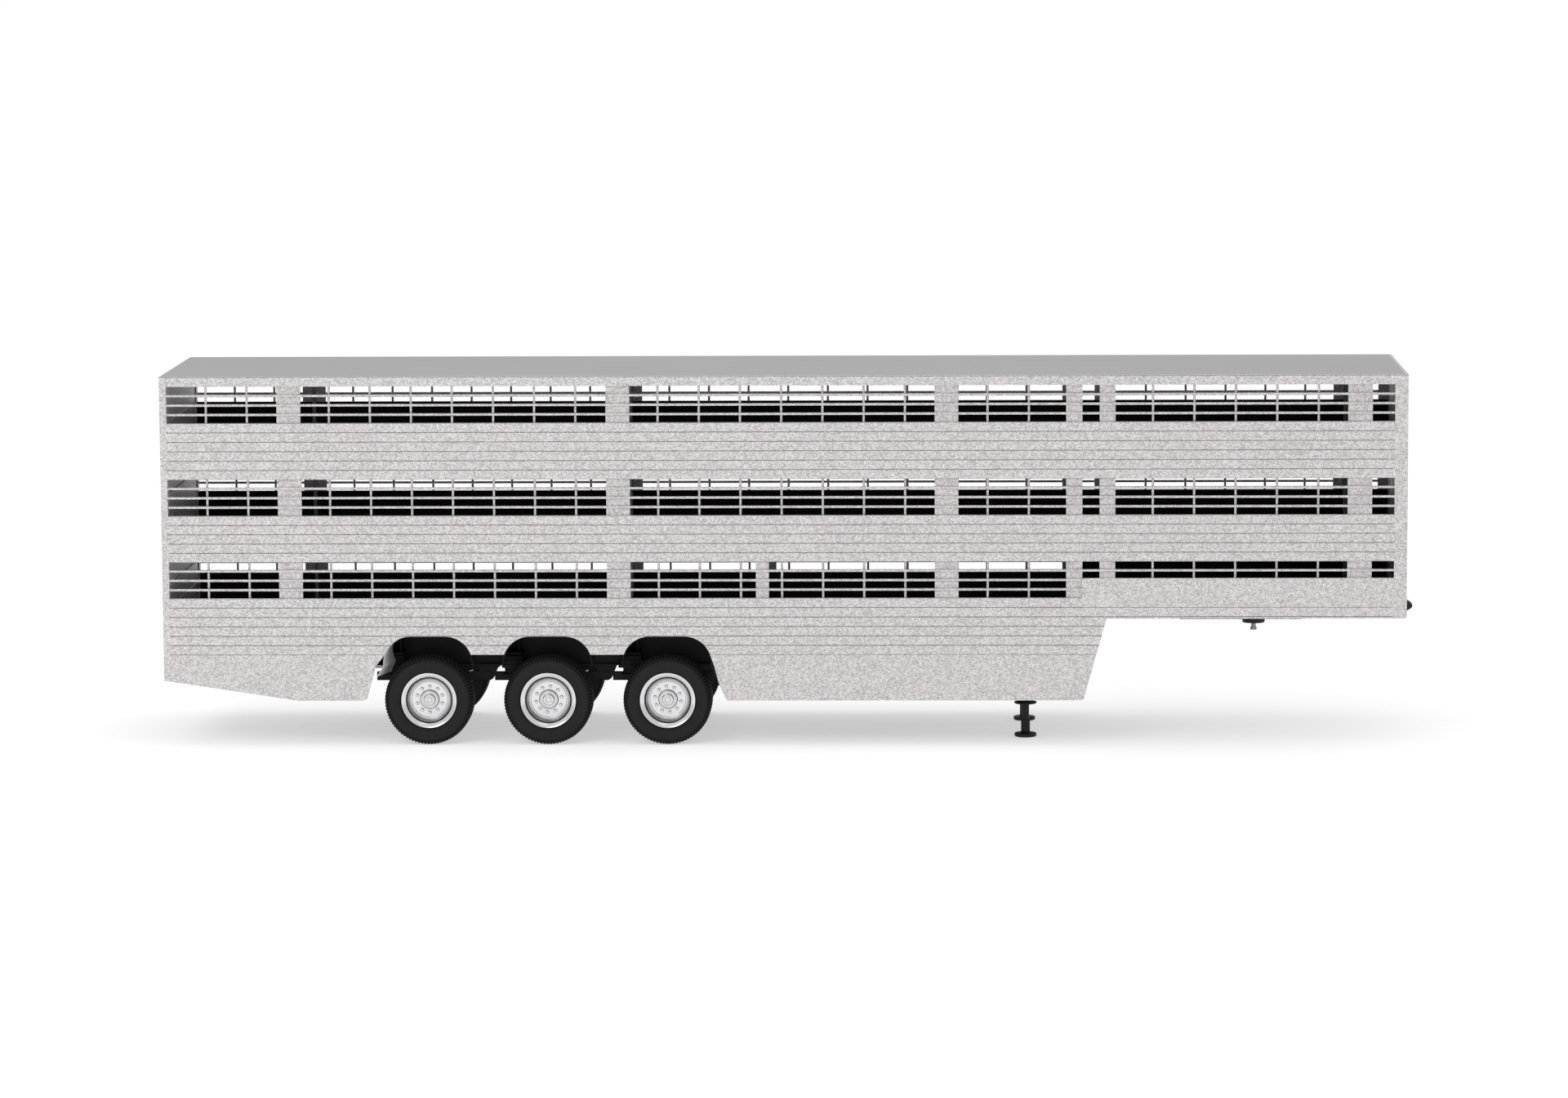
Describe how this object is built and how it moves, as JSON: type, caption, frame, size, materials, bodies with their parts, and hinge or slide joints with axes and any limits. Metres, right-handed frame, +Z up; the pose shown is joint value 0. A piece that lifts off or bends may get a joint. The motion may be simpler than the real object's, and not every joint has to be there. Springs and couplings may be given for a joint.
{
  "type": "three-deck livestock semi-trailer",
  "caption": "Three-deck livestock semi-trailer: planked silver sides, barred window bands, stepped gooseneck, skirted running gear, landing legs, lifting decks, gates and tail ramp.",
  "frame": {"origin": "on the ground, centred in plan on the whole trailer", "axes": "+X towards the front (kingpin end), +Y to the left side, +Z up"},
  "size_m": [13.756, 2.55, 4.065],
  "materials": {
    "silver_flake": "coarse metallic flake paint",
    "roof_paint": "smooth metallic paint",
    "black_steel": "satin black chassis paint",
    "kingpin_steel": "greased forged steel",
    "deck_metal": "mill-finish ribbed aluminium",
    "lining_panel": "dark wash-down panel",
    "gate_tube": "brushed tube",
    "tyre_rubber": "matt black rubber",
    "air_spring_rubber": "matt rubber",
    "wheel_chrome": "bright plated rim",
    "mudguard_plastic": "satin black plastic",
    "liner_metal": "satin grey",
    "lamp_lens": "red lens"
  },
  "bodies": {
    "chassis": {"main_beams": "black_steel", "crossmembers": "black_steel", "lower_floor": "deck_metal", "gooseneck_floor": "deck_metal", "side_planks_right": "silver_flake", "side_planks_left": "silver_flake", "side_frame_right": "silver_flake", "side_frame_left": "silver_flake", "vent_bars_right": "silver_flake", "vent_bars_left": "silver_flake", "vent_rods": "silver_flake", "inner_lining": "lining_panel", "front_wall": "silver_flake", "roof_sheet": "roof_paint", "roof_bows": "deck_metal", "rear_portal": "silver_flake", "skirt_right": "silver_flake", "skirt_left": "silver_flake", "arch_liners": "liner_metal", "mudguards": "mudguard_plastic", "suspension_hangers": "black_steel", "air_springs_rear": "air_spring_rubber", "air_springs_middle": "air_spring_rubber", "air_springs_front": "air_spring_rubber", "coupler_plate": "black_steel", "kingpin": "kingpin_steel", "landing_leg_housings": "black_steel", "rear_bumper": "black_steel", "tail_lamps": "lamp_lens", "air_reservoirs": "black_steel", "connector_hood": "mudguard_plastic", "deck_guides": "deck_metal"},
    "axle_rear": {"axle_rear": "black_steel", "trailing_arms_rear": "black_steel"},
    "wheel_rear_right": {"tyre_rear_right": "tyre_rubber", "rim_rear_right": "wheel_chrome"},
    "wheel_rear_left": {"tyre_rear_left": "tyre_rubber", "rim_rear_left": "wheel_chrome"},
    "axle_middle": {"axle_middle": "black_steel", "trailing_arms_middle": "black_steel"},
    "wheel_middle_right": {"tyre_middle_right": "tyre_rubber", "rim_middle_right": "wheel_chrome"},
    "wheel_middle_left": {"tyre_middle_left": "tyre_rubber", "rim_middle_left": "wheel_chrome"},
    "axle_front": {"axle_front": "black_steel", "trailing_arms_front": "black_steel"},
    "wheel_front_right": {"tyre_front_right": "tyre_rubber", "rim_front_right": "wheel_chrome"},
    "wheel_front_left": {"tyre_front_left": "tyre_rubber", "rim_front_left": "wheel_chrome"},
    "landing_leg_right": {"landing_leg_right": "black_steel"},
    "landing_leg_left": {"landing_leg_left": "black_steel"},
    "mid_deck": {"mid_deck": "deck_metal"},
    "top_deck": {"top_deck": "deck_metal"},
    "loading_ramp": {"loading_ramp": "silver_flake"},
    "rear_flap": {"rear_flap": "silver_flake"},
    "lower_gate": {"lower_gate": "gate_tube"},
    "middle_gate": {"middle_gate": "gate_tube"},
    "upper_gate": {"upper_gate": "gate_tube"}
  },
  "joints": [
    {"name": "axle_rear_swing", "type": "hinge", "parent": "chassis", "child": "axle_rear", "pos_m": [-3.373, 0, 0.69], "axis": [0, 1, 0], "range_deg": [-5, 3], "stiffness_Nm_per_rad": 800000, "springref_deg": -1.43, "deforming": ["air_springs_rear"]},
    {"name": "wheel_rear_right_spin", "type": "hinge", "parent": "axle_rear", "child": "wheel_rear_right", "pos_m": [-3.973, -1.0425, 0.4875], "axis": [0, 1, 0], "continuous": true},
    {"name": "wheel_rear_left_spin", "type": "hinge", "parent": "axle_rear", "child": "wheel_rear_left", "pos_m": [-3.973, 1.0425, 0.4875], "axis": [0, 1, 0], "continuous": true},
    {"name": "axle_middle_swing", "type": "hinge", "parent": "chassis", "child": "axle_middle", "pos_m": [-2.061, 0, 0.69], "axis": [0, 1, 0], "range_deg": [-5, 3], "stiffness_Nm_per_rad": 800000, "springref_deg": -1.43, "deforming": ["air_springs_middle"]},
    {"name": "wheel_middle_right_spin", "type": "hinge", "parent": "axle_middle", "child": "wheel_middle_right", "pos_m": [-2.661, -1.0425, 0.4875], "axis": [0, 1, 0], "continuous": true},
    {"name": "wheel_middle_left_spin", "type": "hinge", "parent": "axle_middle", "child": "wheel_middle_left", "pos_m": [-2.661, 1.0425, 0.4875], "axis": [0, 1, 0], "continuous": true},
    {"name": "axle_front_swing", "type": "hinge", "parent": "chassis", "child": "axle_front", "pos_m": [-0.749, 0, 0.69], "axis": [0, 1, 0], "range_deg": [-5, 3], "stiffness_Nm_per_rad": 800000, "springref_deg": -1.43, "deforming": ["air_springs_front"]},
    {"name": "wheel_front_right_spin", "type": "hinge", "parent": "axle_front", "child": "wheel_front_right", "pos_m": [-1.349, -1.0425, 0.4875], "axis": [0, 1, 0], "continuous": true},
    {"name": "wheel_front_left_spin", "type": "hinge", "parent": "axle_front", "child": "wheel_front_left", "pos_m": [-1.349, 1.0425, 0.4875], "axis": [0, 1, 0], "continuous": true},
    {"name": "landing_leg_right_slide", "type": "slide", "parent": "chassis", "child": "landing_leg_right", "axis": [0, 0, 1], "range_m": [0, 0.3]},
    {"name": "landing_leg_left_slide", "type": "slide", "parent": "chassis", "child": "landing_leg_left", "axis": [0, 0, 1], "range_m": [0, 0.3]},
    {"name": "mid_deck_lift", "type": "slide", "parent": "chassis", "child": "mid_deck", "axis": [0, 0, 1], "range_m": [-0.1, 0.1]},
    {"name": "top_deck_lift", "type": "slide", "parent": "chassis", "child": "top_deck", "axis": [0, 0, 1], "range_m": [-0.1, 0.1]},
    {"name": "loading_ramp_hinge", "type": "hinge", "parent": "chassis", "child": "loading_ramp", "pos_m": [-6.854, 0, 1.284], "axis": [0, -1, 0], "range_deg": [0, 118]},
    {"name": "rear_flap_hinge", "type": "hinge", "parent": "chassis", "child": "rear_flap", "pos_m": [-6.854, 0, 3.952], "axis": [0, 1, 0], "range_deg": [0, 90]},
    {"name": "lower_gate_hinge", "type": "hinge", "parent": "chassis", "child": "lower_gate", "pos_m": [-1.871, 1.129, 1.29], "axis": [0, 0, 1], "range_deg": [0, 90]},
    {"name": "middle_gate_hinge", "type": "hinge", "parent": "mid_deck", "child": "middle_gate", "pos_m": [-1.871, 1.129, 2.18], "axis": [0, 0, 1], "range_deg": [0, 90]},
    {"name": "upper_gate_hinge", "type": "hinge", "parent": "top_deck", "child": "upper_gate", "pos_m": [-1.871, 1.129, 3.198], "axis": [0, 0, 1], "range_deg": [0, 90]}
  ]
}
